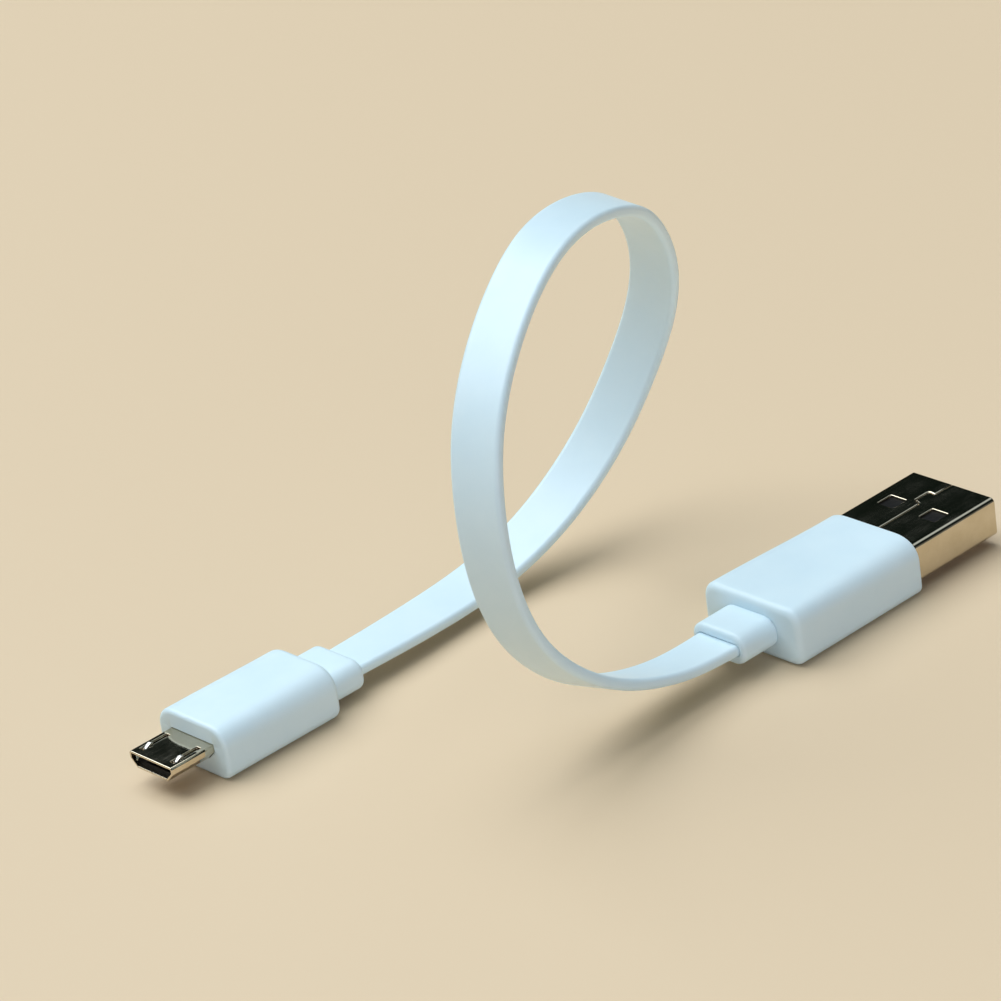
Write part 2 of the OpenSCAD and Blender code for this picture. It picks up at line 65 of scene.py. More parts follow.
def make_camera():
    ce, se = math.cos(CAMERA_ELEVATION), math.sin(CAMERA_ELEVATION)
    ch, sh = math.cos(CAMERA_HEADING), math.sin(CAMERA_HEADING)
    cr, sr = math.cos(CAMERA_ROLL), math.sin(CAMERA_ROLL)
    forward = Vector((ce * sh, ce * ch, -se))
    level_right = Vector((ch, -sh, 0.0))
    level_up = level_right.cross(forward)
    right = level_right * cr + level_up * sr
    up = level_up * cr - level_right * sr
    data = bpy.data.cameras.new("camera")
    data.lens = CAMERA_LENS
    data.sensor_width = CAMERA_SENSOR
    data.clip_start, data.clip_end = CAMERA_CLIP
    camera = bpy.data.objects.new("camera", data)
    bpy.context.scene.collection.objects.link(camera)
    turn = Matrix((right, up, -forward)).transposed().to_4x4()
    camera.matrix_world = Matrix.Translation(CAMERA_TARGET - forward * CAMERA_DISTANCE) @ turn
    bpy.context.scene.camera = camera


make_camera()

# ------------------------------------------------------------------ outlines
ARC = 12              # steps round each corner of an outline
FLAT = 5              # steps along each of its straight sides
LEAST_FLAT = 0.02     # half length that is left of a side between two full corners


def outline(half_w, half_h, upper, lower=None, power=2.0):
    """Rounded rectangle, anticlockwise.

    upper and lower are the corners' radii, one number or (width, height). A power above 2
    makes them fuller than an ellipse.
    """
    upper = (upper, upper) if isinstance(upper, float) else upper
    lower = upper if lower is None else lower
    corners = []
    for k, (sy, sz) in enumerate(((1, 1), (-1, 1), (-1, -1), (1, -1))):
        radii = upper if sz > 0 else lower
        round_w = min(radii[0], half_w - LEAST_FLAT)
        round_h = min(radii[1], half_h - LEAST_FLAT)
        corner = []
        for i in range(ARC + 1):
            a = (k + i / ARC) * math.pi / 2
            c, s = math.cos(a), math.sin(a)
            dy = math.copysign(abs(c) ** (2 / power), c) * round_w
            dz = math.copysign(abs(s) ** (2 / power), s) * round_h
            corner.append((sy * (half_w - round_w) + dy, sz * (half_h - round_h) + dz))
        corners.append(corner)
    points = []
    for k in range(4):
        a, b = corners[k][-1], corners[(k + 1) % 4][0]
        points += corners[k]
        points += [(a[0] + (b[0] - a[0]) * i / FLAT, a[1] + (b[1] - a[1]) * i / FLAT)
                   for i in range(1, FLAT)]
    return np.array(points)


def ring_at(x, points):
    return np.column_stack([np.full(len(points), x), points])


def spread(a, b, steps):
    return [a + (b - a) * i / steps for i in range(steps + 1)]


def ease(t):
    """Goes from 0 to 1 with a level start and end."""
    t = min(max(t, 0.0), 1.0)
    return t * t * (3 - 2 * t)


def quarter(steps):
    """(1 - cosine, 1 - sine) at even steps over a quarter turn, for a rounded edge."""
    turns = [math.pi / 2 * i / steps for i in range(steps + 1)]
    return [(1 - math.cos(a), 1 - math.sin(a)) for a in turns]


def unit(v):
    return v / np.linalg.norm(v)


def corner_arc(before, corner, after, radius, steps=4):
    """Points of the arc that rounds a corner between two straight lines."""
    a, b = unit(before - corner), unit(after - corner)
    half = math.acos(max(-1.0, min(1.0, float(a @ b)))) / 2
    start, end = corner + a * radius / math.tan(half), corner + b * radius / math.tan(half)
    middle = corner + unit(a + b) * radius / math.sin(half)
    turn = math.atan2(*(start - middle)[::-1])
    sweep = math.atan2(*(end - middle)[::-1]) - turn
    sweep = (sweep + math.pi) % (2 * math.pi) - math.pi
    return [middle + radius * np.array([math.cos(turn + sweep * k / steps),
                                        math.sin(turn + sweep * k / steps)])
            for k in range(steps + 1)]


def rounded_polygon(corners, radius):
    p = [np.array(c, float) for c in corners]
    return np.array([q for i in range(len(p))
                     for q in corner_arc(p[i - 1], p[i], p[(i + 1) % len(p)], radius)])


def rounded_line(corners, radius):
    p = [np.array(c, float) for c in corners]
    return ([p[0]] + [q for i in range(1, len(p) - 1)
                      for q in corner_arc(p[i - 1], p[i], p[i + 1], radius)] + [p[-1]])


# ------------------------------------------------------------------ meshes
pieces = []           # every new piece with its material slot
WELD = 0.001          # distance at which a CAD copy's points are joined
LEVEL_ANGLE = 1       # degrees between faces that count as one flat face
EASED_ANGLE = 40      # degrees above which a CAD copy's edge is rounded over


def add_mesh(name, points, faces, uvs=None):
    """A new smooth-shaded object from points in metres."""
    mesh = bpy.data.meshes.new(name)
    mesh.from_pydata([tuple(map(float, p)) for p in points], [], faces)
    if uvs is not None:
        layer = mesh.uv_layers.new(name="along")
        flat = [c for face in uvs for corner in face for c in corner]
        layer.data.foreach_set("uv", flat)
    mesh.validate()
    mesh.shade_smooth()
    obj = bpy.data.objects.new(name, mesh)
    bpy.context.scene.collection.objects.link(obj)
    return obj


def fix_normals(obj):
    bm = bmesh.new()
    bm.from_mesh(obj.data)
    bmesh.ops.recalc_face_normals(bm, faces=bm.faces)
    bm.to_mesh(obj.data)
    bm.free()


def add_placed(name, points, faces, place):
    """A closed mesh from points on a plug's own axes, put in its place in the frame."""
    obj = add_mesh(name, points * MM, faces)
    obj.data.transform(place)
    fix_normals(obj)
    return obj


def loft(name, rings, place):
    """One closed skin through all the rings and back to the first: a body with a way through."""
    n = len(rings[0])
    faces = []
    for r in range(len(rings)):
        a, b = r * n, ((r + 1) % len(rings)) * n
        for i in range(n):
            j = (i + 1) % n
            faces.append((a + i, a + j, b + j, b + i))
    return add_placed(name, np.concatenate(rings), faces, place)


def prism(name, layers, place):
    """A closed solid through outlines in plan, each given with its height."""
    n = len(layers[0][1])
    points = np.concatenate([np.column_stack([p, np.full(n, z)]) for z, p in layers])
    faces = [tuple(reversed(range(n))), tuple((len(layers) - 1) * n + i for i in range(n))]
    for r in range(len(layers) - 1):
        a, b = r * n, (r + 1) * n
        faces += [(a + i, a + (i + 1) % n, b + (i + 1) % n, b + i) for i in range(n)]
    return add_placed(name, points, faces, place)


def bake(obj):
    """Applies the object's modifiers to its mesh."""
    evaluated = obj.evaluated_get(bpy.context.evaluated_depsgraph_get())
    obj.data = bpy.data.meshes.new_from_object(evaluated)
    obj.modifiers.clear()


def carve(obj, cutters):
    """Cuts closed meshes out of a closed mesh, for good, and removes them."""
    for cutter in cutters:
        cut = obj.modifiers.new("cut", "BOOLEAN")
        cut.operation, cut.solver, cut.object = "DIFFERENCE", "EXACT", cutter
    bake(obj)
    for cutter in cutters:
        bpy.data.objects.remove(cutter)
    obj.data.shade_smooth()


def sharpen(obj, degrees):
    """Creases edges that turn by more than this, and keeps wide flat faces flat in the shading."""
    obj.data.set_sharp_from_angle(angle=math.radians(degrees))
    weigh = obj.modifiers.new("weigh", "WEIGHTED_NORMAL")
    weigh.weight = 100
    weigh.keep_sharp = True
    bake(obj)


def stands_for(obj, node, body, slot):
    """Makes a new piece ride on a body in place of a CAD node, with a material slot."""
    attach(obj, body)
    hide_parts(node)
    pieces.append((obj, slot))


def eased_copy(node, body, slot, width):
    """A copy of a CAD node with its sharp edges rounded over by a width."""
    bm = bmesh.new()
    bm.from_mesh(frame["nodes"][node].data)
    bmesh.ops.remove_doubles(bm, verts=bm.verts, dist=WELD * MM)
    bmesh.ops.dissolve_limit(bm, angle_limit=math.radians(LEVEL_ANGLE), verts=bm.verts,
                             edges=bm.edges)
    edges = [e for e in bm.edges
             if e.is_manifold and e.calc_face_angle() > math.radians(EASED_ANGLE)]
    bmesh.ops.bevel(bm, geom=edges, offset=width * MM, segments=3, profile=0.5,
                    affect="EDGES", clamp_overlap=True)
    mesh = bpy.data.meshes.new(node + "_eased")
    bm.to_mesh(mesh)
    bm.free()
    mesh.shade_smooth()
    obj = bpy.data.objects.new(node + "_eased", mesh)
    bpy.context.scene.collection.objects.link(obj)
    sharpen(obj, degrees=50)
    stands_for(obj, node, body, slot)


# ------------------------------------------------------------------ flat cord
# The route's control points, as in the CAD model, in millimetres, with the lean of the
# cord's width in degrees.
ROUTE = np.array([
    (-17.5, 17, 2.4, 0), (-11, 17, 2.4, 4), (-3.5, 17.5, 2.2, 8), (4.5, 18, 2.4, 11),
    (12, 18, 4.2, 13), (18.5, 17.5, 7.8, 17), (24, 16.5, 13, 18), (27.5, 14.5, 20, 15),
    (28.5, 11.5, 27, 10), (27, 8.5, 34, 4), (23.5, 6, 40, 1), (18.5, 3, 45, -2),
    (12, 0.5, 48, -3), (5, -2, 49.5, -4), (-2, -5, 49.5, -6), (-8.5, -7.5, 47, -6),
    (-14.5, -10, 43, -8), (-19, -12, 37.5, -9), (-21.5, -14, 30.5, -9),
    (-21.5, -14.5, 23, -10), (-19.5, -15, 15.5, -11), (-14.5, -15.5, 9.5, -13),
    (-8, -15.5, 5.5, -10), (0, -15.5, 3.3, -5), (7, -15.5, 3.3, 0),
], float)
CORD_W = 6.0
CORD_T = 1.3
CORD_EDGE = 0.55          # corner radius of the cord's section
MICRO_B_CORD_END = 10     # from the Micro-B grip's front face back to the cord's end
USB_A_CORD_END = 13       # the same in the USB-A grip
SPAN_STEPS = 14           # steps in each span of the route
END_STEPS = 8             # steps in each straight end, inside a plug


def route_frame(u):
    """Centre, heading, width and thickness directions of the cord, u spans along the route.

    The route is a uniform cubic B-spline whose ends are the first and last points.
    """
    ends = np.vstack([2 * ROUTE[0] - ROUTE[1], ROUTE, 2 * ROUTE[-1] - ROUTE[-2]])
    i = min(int(u), len(ROUTE) - 2)
    f = u - i
    p = ends[i:i + 4]
    weight = np.array([(1 - f) ** 3, 3 * f ** 3 - 6 * f * f + 4, 3 * f + 3 * f * f - 3 * f ** 3 + 1,
                       f ** 3]) / 6
    slope = np.array([-(1 - f) ** 2, 3 * f * f - 4 * f, 1 + 2 * f - 3 * f * f, f * f]) / 2
    spot, heading = weight @ p, unit((slope @ p)[:3])
    level = unit(np.array([0, 1, 0]) - heading * heading[1])
    side = np.cross(heading, level)
    lean = math.radians(spot[3])
    width = level * math.cos(lean) + side * math.sin(lean)
    return spot[:3], heading, width, np.cross(heading, width)


def straight_end(x_from, x_to, spot):
    """Frames of a level stretch along X at the height and side of a route point."""
    return [(np.array([x, spot[1], spot[2]]), *np.identity(3))
            for x in spread(x_from, x_to, END_STEPS)]


def cord_frames():
    """The cord's frames from its Micro-B end to its USB-A end."""
    x_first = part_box("micro_b_overmould")[0].x / MM + MICRO_B_CORD_END
    x_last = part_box("usb_a_overmould")[1].x / MM - USB_A_CORD_END
    spans = len(ROUTE) - 1
    free = [route_frame(u) for u in spread(0.0, spans, spans * SPAN_STEPS)]
    return (straight_end(x_first, ROUTE[0][0], ROUTE[0])[:-1] + free
            + straight_end(ROUTE[-1][0], x_last, ROUTE[-1])[1:])


def running_length(points):
    """How far along a line of points each of them is."""
    steps = np.linalg.norm(np.diff(points, axis=0), axis=1)
    return np.concatenate([[0.0], np.cumsum(steps)])


def make_cord():
    frames = cord_frames()
    section = outline(CORD_W / 2, CORD_T / 2, CORD_EDGE)
    n, last = len(section), len(frames) - 1
    points = [c + y * width + z * thickness
              for c, _, width, thickness in frames for y, z in section]
    along = running_length([c for c, *_ in frames])
    girth = running_length([*section, section[0]])
    faces, uvs = [], []
    for k in range(last):
        for i in range(n):
            j = (i + 1) % n
            faces.append((k * n + i, (k + 1) * n + i, (k + 1) * n + j, k * n + j))
            u0, u1, v0, v1 = along[k], along[k + 1], girth[i], girth[i + 1]
            uvs.append(((u0, v0), (u1, v0), (u1, v1), (u0, v1)))
    faces += [tuple(range(n)), tuple(last * n + i for i in reversed(range(n)))]
    uvs += [[(0.0, g) for g in girth[:n]], [(along[-1], g) for g in girth[:n][::-1]]]
    obj = add_mesh("flat_cord", np.array(points) * MM, faces, uvs)
    fix_normals(obj)
    sharpen(obj, degrees=50)
    stands_for(obj, "cord_jacket", "cable", "white_jacket")


make_cord()

# ------------------------------------------------------------------ plugs


class Plug:
    """A plug and its own axes, in millimetres rounded to a micron.

    x = 0 is the front face of its grip, +X points to its tip, and the origin is on the
    shell's axis, which is the middle of the grip.
    """

    def __init__(self, name, turned):
        self.name = name
        low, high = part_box(name + "_overmould")
        self.place = (Matrix.Translation((low.x if turned else high.x, (low.y + high.y) / 2,
                                          (low.z + high.z) / 2))
                      @ Matrix.Rotation(math.pi if turned else 0.0, 4, "Z"))

    def corners(self, part):
        """Two opposite corners of a part's CAD node."""
        return [self.place.inverted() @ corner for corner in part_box(f"{self.name}_{part}")]

    def ends(self, part):
        """Where a part's back and front are along the plug."""
        return sorted(round(corner.x / MM, 3) for corner in self.corners(part))

    def half(self, part):
        """Half of a part's width and height."""
        a, b = self.corners(part)
        return round(abs(b.y - a.y) / 2 / MM, 3), round(abs(b.z - a.z) / 2 / MM, 3)

    def rise(self, part):
        """How far a part's middle is above the shell's axis."""
        a, b = self.corners(part)
        return round((a.z + b.z) / 2 / MM, 3)


USB_A = Plug("usb_a", turned=False)
MICRO_B = Plug("micro_b", turned=True)

# ------------------------------------------------------------------ grips and strain reliefs
BORDER = 0.05                 # width of the flat border inside a rounded end
BOX_CORNER = 0.06             # corner radius of the roots and of the grips' square hollows
USB_A_ROOT = (3.45, 1.3)      # half size of the strain relief's root in the grip
MICRO_B_ROOT = (3.5, 1.1)
GRIP_MOUTH = 0.1              # depth of the eased edge where a shell leaves its grip
COLLAR_LEAST_CORNER = 0.2     # corner radius that a collar keeps on its drawn-in rings
COLLAR_FACE_RADIUS = 0.12     # rounding of a collar's edge against the grip
CORD_GAP = 0.02               # clearance of the cord in its strain relief
CORD_MOUTH = 0.14             # size of the flare where the cord comes out
CORD_MOUTH_CORNER = 0.65      # corner radius of the flare's outline
MICRO_B_BEVEL_LOW = 1.0       # 45 degree bevel of the Micro-B shell's lower corners
MICRO_B_BEVEL_TOP = 0.2       # the same of its upper corners


def rounded_body(back, front, section, r_back, r_front, steps=24, turns=7):
    """Rings of a body with rounded ends; a narrow flat border keeps each end face flat.

    section gives the outline at x, drawn in by an inset.
    """
    arc = quarter(turns)[:-1]
    stations = [(back, r_back + BORDER)]
    stations += [(back + r_back * c, r_back * s) for c, s in arc]
    stations += [(x, 0.0) for x in spread(back + r_back, front - r_front, steps)]
    stations += [(front - r_front * c, r_front * s) for c, s in reversed(arc)]
    stations += [(front, r_front + BORDER)]
    return [ring_at(x, section(x, inset)) for x, inset in stations]


def root_outline(plug, root):
    """Outline of a strain relief's root, centred on the cord."""
    return outline(*root, BOX_CORNER) + np.array([0, plug.rise("strain_relief")])


def make_grip(plug, upper, lower, taper, power, end_radii, mouth, hole, root):
    """A soft grip moulded round the shell, the inner mould and the strain relief's root.

    upper and lower are the corners' (width, height), at the back and at the front, taper
    narrows the front, and mouth and hole are the outlines that the shell goes through.
    """
    back, front = plug.ends("overmould")
    half_w, half_h = plug.half("overmould")

    def section(x, inset):
        t = ease(1 - x / back)
        corners = [tuple(a + (b - a) * t - inset for a, b in zip(*pair))
                   for pair in (upper, lower)]
        return outline(half_w - taper * t - inset, half_h - inset, *corners, power)

    mould_back, mould_front = plug.ends("inner_mould")
    mould, root_hole = outline(*plug.half("inner_mould"), BOX_CORNER), root_outline(plug, root)
    rings = rounded_body(back, front, section, *end_radii)
    rings += [ring_at(front, mouth), ring_at(front - GRIP_MOUTH, hole),
              ring_at(mould_front, hole), ring_at(mould_front, mould),
              ring_at(mould_back, mould), ring_at(mould_back, root_hole),
              ring_at(back, root_hole)]
    obj = loft(plug.name + "_grip", rings, plug.place)
    sharpen(obj, degrees=40)
    stands_for(obj, plug.name + "_overmould", "cable", "white_grip")


def usb_a_hole(grow, corner):
    """The outline of the USB-A shell, grown."""
    half_w, half_h = USB_A.half("shell")
    return outline(half_w + grow, half_h + grow, corner)


def micro_b_hole(grow):
    """The bevelled outline of the Micro-B shell, grown, with as many points as outline()."""
    half_w, half_h = MICRO_B.half("shell")
    hole = outline(half_w + grow, half_h + grow, MICRO_B_BEVEL_TOP)
    for p in hole:
        reach = half_w + grow - max(0.0, MICRO_B_BEVEL_LOW - half_h - p[1])
        p[0] = math.copysign(min(abs(p[0]), reach), p[0])
    return hole


def make_relief(plug, root, corner, end_radius):
    """A strain relief: the collar outside the grip, and the root that the grip holds."""
    back, root_front = plug.ends("strain_relief")
    face = plug.ends("overmould")[0]
    half_w, half_h = plug.half("strain_relief")
    lift = np.array([0, plug.rise("strain_relief")])

    def section(x, inset):
        radii = tuple(max(radius - inset, COLLAR_LEAST_CORNER) for radius in corner)
        return outline(half_w - inset, half_h - inset, radii) + lift

    def cord_hole(grow, corner):
        return outline(CORD_W / 2 + grow, CORD_T / 2 + grow, corner) + lift

    root_skin = root_outline(plug, root)
    slot = cord_hole(CORD_GAP, CORD_EDGE)
    mouth = cord_hole(CORD_GAP + CORD_MOUTH, CORD_MOUTH_CORNER)
    rings = rounded_body(back, face, section, end_radius, COLLAR_FACE_RADIUS, steps=10)
    rings += [ring_at(face, root_skin), ring_at(root_front, root_skin),
              ring_at(root_front, slot), ring_at(back + CORD_MOUTH, slot), ring_at(back, mouth)]
    obj = loft(plug.name + "_relief", rings, plug.place)
    sharpen(obj, degrees=40)
    stands_for(obj, plug.name + "_strain_relief", "cable", "white_grip")


make_grip(USB_A, upper=((2.0, 2.1), (3.4, 2.7)), lower=((1.5, 1.5), (1.3, 1.3)), taper=0.15,
          power=2.3, end_radii=(0.8, 0.25), mouth=usb_a_hole(grow=0.08, corner=0.56),
          hole=usb_a_hole(grow=0.0, corner=0.5), root=USB_A_ROOT)
make_grip(MICRO_B, upper=((3.0, 2.8), (2.6, 2.4)), lower=((1.6, 1.5), (1.6, 1.5)), taper=0.0,
          power=2.2, end_radii=(0.9, 0.5), mouth=micro_b_hole(grow=0.1),
          hole=micro_b_hole(grow=0.0), root=MICRO_B_ROOT)
make_relief(USB_A, USB_A_ROOT, corner=(1.8, 1.6), end_radius=0.5)
make_relief(MICRO_B, MICRO_B_ROOT, corner=(1.7, 1.5), end_radius=0.75)

# ------------------------------------------------------------------ metal shells
LIP_STEPS = 5                 # steps of a shell's rolled lip and of a cut's rounded edge
CUTTER_RISE = 0.3             # how far a cutter stands out of the surface
ROUNDING_START = 0.004        # how far under the surface the rounding of a cut starts
LEAST_MITRE = 0.3             # cosine at which a groove's mitre stops growing
USB_A_WALL = 0.3
USB_A_CORNER = 0.55           # outside corner radius of the shell
USB_A_INNER_CORNER = 0.2      # inside corner radius
USB_A_CUT_BOTTOM = 1.5        # height above the axis to which windows and seam are cut
WINDOW = (2.2, 2.3)           # latch window, along the plug and across
WINDOW_FROM_TIP = 5.4         # from the tip to a window's front edge
WINDOW_Y = 3.0                # from the axis to a window's centre
SEAM_GAP = 0.06               # width of the seam at the bottom of its rounded edges
SEAM_Y = 0.1                  # the seam's distance from the axis
SEAM_KEY = (2.8, 2.5, 1.0)    # the seam's key: distance from the tip, length and depth
SEAM_LEAN = (0.2, 0.4)        # how far the key's front and back sides lean forward
SEAM_CORNER = 0.24            # radius of the seam's corners
SEAM_OVERRUN = 0.5            # how far the groove's cutter runs past both ends
MICRO_B_WALL = 0.25
MICRO_B_CUT_BOTTOM = 0.3      # height above the axis to which the slots are cut
SLOT = (1.1, 4.8)             # a latch slot's back and front
SLOT_Y = 2.45                 # from the axis to a slot's middle
SLOT_W = 0.7


def tube(plug, outer, inner, lip, inner_lip):
    """A shell of sheet metal, with its front edge rolled over; outer and inner take an inset."""
    back, front = plug.ends("shell")
    arc = quarter(LIP_STEPS)
    rings = [ring_at(back, outer(0.0))]
    rings += [ring_at(front - lip * s, outer(lip * c)) for c, s in arc]
    rings += [ring_at(front - inner_lip * s, inner(-inner_lip * c)) for c, s in reversed(arc)]
    rings += [ring_at(back, inner(0.0))]
    return loft(plug.name + "_formed_shell", rings, plug.place)


def flare(surface, bottom, radius):
    """Heights and outward steps of a cutter that leaves a rounded edge at the surface.

    The rounding starts a hair under the surface, so that no edge of the cutter lies in it.
    """
    start = surface - ROUNDING_START
    return ([(surface + CUTTER_RISE, radius)]
            + [(start - radius * c, radius * s) for c, s in quarter(LIP_STEPS)]
            + [(bottom, 0.0)])


def window_cutter(centre, half, corner, surface, bottom, radius, place):
    """A rectangular opening in plan, with rounded corners and edges."""
    layers = [(z, outline(half[0] + grow, half[1] + grow, corner + grow) + np.array(centre))
              for z, grow in flare(surface, bottom, radius)]
    return prism("window", layers[::-1], place)


def seam_cutter(path, half_gap, surface, bottom, radius, place):
    """A groove along a line in plan, mitred at its corners, with rounded edges."""
    path = np.array(path, float)
    section = [(half_gap + grow, z) for z, grow in flare(surface, bottom, radius)]
    section = [(-v, z) for v, z in section] + section[::-1]
    rings = []
    for i, p in enumerate(path):
        before = unit(p - path[i - 1]) if i else unit(path[1] - p)
        after = unit(path[i + 1] - p) if i + 1 < len(path) else before
        middle = unit(before + after)
        across = np.array([-middle[1], middle[0]]) / max(float(middle @ after), LEAST_MITRE)
        rings.append([(*(p + across * v), z) for v, z in section])
    n = len(section)
    faces = [tuple(range(n)), tuple((len(path) - 1) * n + i for i in reversed(range(n)))]
    for r in range(len(path) - 1):
        a, b = r * n, (r + 1) * n
        faces += [(a + i, b + i, b + (i + 1) % n, a + (i + 1) % n) for i in range(n)]
    return add_placed("seam", np.array(rings).reshape(-1, 3), faces, place)


def seam_path(back, tip):
    """The dovetailed line on which the sheet's two edges meet, from the tip to the back."""
    key_front = tip - SEAM_KEY[0]
    key_back = key_front - SEAM_KEY[1]
    far = SEAM_Y + SEAM_KEY[2]
    return [(tip + SEAM_OVERRUN, SEAM_Y), (key_front, SEAM_Y), (key_front + SEAM_LEAN[0], far),
            (key_back + SEAM_LEAN[1], far), (key_back, SEAM_Y), (back - SEAM_OVERRUN, SEAM_Y)]


def make_usb_a_shell():
    back, tip = USB_A.ends("shell")
    half_w, half_h = USB_A.half("shell")
    inner_w, inner_h = half_w - USB_A_WALL, half_h - USB_A_WALL
    shell = tube(USB_A, outer=lambda g: outline(half_w - g, half_h - g, USB_A_CORNER - g),
                 inner=lambda g: outline(inner_w - g, inner_h - g, USB_A_INNER_CORNER),
                 lip=0.14, inner_lip=0.08)
    window_x = tip - WINDOW_FROM_TIP - WINDOW[0] / 2
    cutters = [window_cutter((window_x, side * WINDOW_Y), (WINDOW[0] / 2, WINDOW[1] / 2),
                             corner=0.15, surface=half_h, bottom=USB_A_CUT_BOTTOM, radius=0.1,
                             place=USB_A.place @ Matrix.Rotation(turn, 4, "X"))
               for side in (-1, 1) for turn in (0.0, math.pi)]
    cutters.append(seam_cutter(rounded_line(seam_path(back, tip), SEAM_CORNER), SEAM_GAP / 2,
                               surface=half_h, bottom=USB_A_CUT_BOTTOM, radius=0.17,
                               place=USB_A.place))
    carve(shell, cutters)
    sharpen(shell, degrees=35)
    stands_for(shell, "usb_a_shell", "cable", "nickel_shell")


def micro_b_outline(inset, radius):
    """The bevelled section of the Micro-B shell, drawn in by an inset."""
    half_w, half_h = MICRO_B.half("shell")
    low, top = MICRO_B_BEVEL_LOW, MICRO_B_BEVEL_TOP
    turn = (math.sqrt(2) - 1) * inset
    side = [(half_w - low - turn, inset - half_h), (half_w - inset, low - half_h + turn),
            (half_w - inset, half_h - top - turn), (half_w - top - turn, half_h - inset)]
    return rounded_polygon(side + [(-y, z) for y, z in reversed(side)], radius)


def make_micro_b_shell():
    half_h = MICRO_B.half("shell")[1]
    shell = tube(MICRO_B, outer=lambda g: micro_b_outline(g, radius=0.12),
                 inner=lambda g: micro_b_outline(MICRO_B_WALL + g, radius=0.05),
                 lip=0.1, inner_lip=0.06)
    middle, half_length = (SLOT[0] + SLOT[1]) / 2, (SLOT[1] - SLOT[0]) / 2
    cutters = [window_cutter((middle, side * SLOT_Y), (half_length, SLOT_W / 2), corner=0.1,
                             surface=half_h, bottom=MICRO_B_CUT_BOTTOM, radius=0.05,
                             place=MICRO_B.place)
               for side in (-1, 1)]
    carve(shell, cutters)
    sharpen(shell, degrees=35)
    stands_for(shell, "micro_b_shell", "cable", "nickel_shell")


make_usb_a_shell()
make_micro_b_shell()

# ------------------------------------------------------------------ insulators, contacts, latches
eased_copy("usb_a_tongue", "cable", "tongue_plastic", width=0.08)
eased_copy("micro_b_tongue", "cable", "tongue_plastic", width=0.03)
for part in frame["record"]["subparts"]:
    if "_contact_" in part["node"]:
        eased_copy(part["node"], "cable", "gold_plate", width=0.03)
for side in ("left", "right"):
    eased_copy("micro_b_latch_" + side, "latch_" + side, "latch_steel", width=0.05)

# ------------------------------------------------------------------ materials
# Noise scales are in cells a metre, and for the cord's streaks in cells a millimetre.
# Bump distances are in metres.


def new_material(name):
    material = bpy.data.materials.new(name)
    material.use_nodes = True
    nodes = material.node_tree.nodes
    nodes.clear()
    out = nodes.new("ShaderNodeOutputMaterial")
    shader = nodes.new("ShaderNodeBsdfPrincipled")
    material.node_tree.links.new(shader.outputs[0], out.inputs["Surface"])
    return material, nodes, material.node_tree.links, shader


def coordinates(nodes, links, scale=(1, 1, 1), uv=False):
    """The object's own coordinates in metres, or the cord's millimetres along and round it."""
    mapping = nodes.new("ShaderNodeMapping")
    mapping.inputs["Scale"].default_value = scale
    if uv:
        source = nodes.new("ShaderNodeUVMap")
        source.uv_map = "along"
        links.new(source.outputs["UV"], mapping.inputs["Vector"])
    else:
        source = nodes.new("ShaderNodeTexCoord")
        links.new(source.outputs["Object"], mapping.inputs["Vector"])
    return mapping.outputs["Vector"]


def noise(nodes, links, vector, scale, detail, roughness=0.55):
    node = nodes.new("ShaderNodeTexNoise")
    node.inputs["Scale"].default_value = scale
    node.inputs["Detail"].default_value = detail
    node.inputs["Roughness"].default_value = roughness
    links.new(vector, node.inputs["Vector"])
    return node.outputs["Fac"]


def between(nodes, links, value, low, high, from_low=0.3, from_high=0.7):
    """A number that runs from low to high as the value runs over its usual range."""
    node = nodes.new("ShaderNodeMapRange")
    for key, number in (("From Min", from_low), ("From Max", from_high), ("To Min", low),
                        ("To Max", high)):
        node.inputs[key].default_value = number
    links.new(value, node.inputs["Value"])
    return node.outputs["Result"]


def two_tone(nodes, links, value, low, high, from_low=0.3, from_high=0.7):
    """A colour that runs from low to high as the value runs over its usual range."""
    ramp = nodes.new("ShaderNodeValToRGB")
    for stop, at, color in zip(ramp.color_ramp.elements, (from_low, from_high), (low, high)):
        stop.position, stop.color = at, (*color, 1)
    links.new(value, ramp.inputs["Fac"])
    return ramp.outputs["Color"]


def bump(nodes, links, height, strength, distance, normal=None):
    node = nodes.new("ShaderNodeBump")
    node.inputs["Strength"].default_value = strength
    node.inputs["Distance"].default_value = distance
    links.new(height, node.inputs["Height"])
    if normal is not None:
        links.new(normal, node.inputs["Normal"])
    return node.outputs["Normal"]


def soft_plastic(name, low, high, rough, grain_scale, grain, streaks=False):
    """Soft white thermoplastic: faint mottling, satin sheen, a fine moulded grain.

    streaks adds the fine lines that extrusion leaves along a cord.
    """
    material, nodes, links, shader = new_material(name)
    plain = coordinates(nodes, links)
    mottle = noise(nodes, links, plain, scale=160, detail=4)
    links.new(two_tone(nodes, links, mottle, low, high), shader.inputs["Base Color"])
    handling = noise(nodes, links, plain, scale=420, detail=5, roughness=0.65)
    links.new(between(nodes, links, handling, *rough), shader.inputs["Roughness"])
    grain_height = noise(nodes, links, plain, scale=grain_scale, detail=2)
    normal = bump(nodes, links, grain_height, strength=grain, distance=0.00003)
    wave = noise(nodes, links, plain, scale=260, detail=2)
    normal = bump(nodes, links, wave, strength=0.25, distance=0.00004, normal=normal)
    if streaks:
        along = coordinates(nodes, links, scale=(0.012, 1, 1), uv=True)
        lines = noise(nodes, links, along, scale=3.2, detail=3, roughness=0.6)
        normal = bump(nodes, links, lines, strength=0.35, distance=0.00002, normal=normal)
    links.new(normal, shader.inputs["Normal"])
    shader.inputs["IOR"].default_value = 1.47
    shader.inputs["Subsurface Weight"].default_value = 0.12
    shader.inputs["Subsurface Radius"].default_value = (0.9, 1.0, 1.0)
    shader.inputs["Subsurface Scale"].default_value = 0.0008
    return material


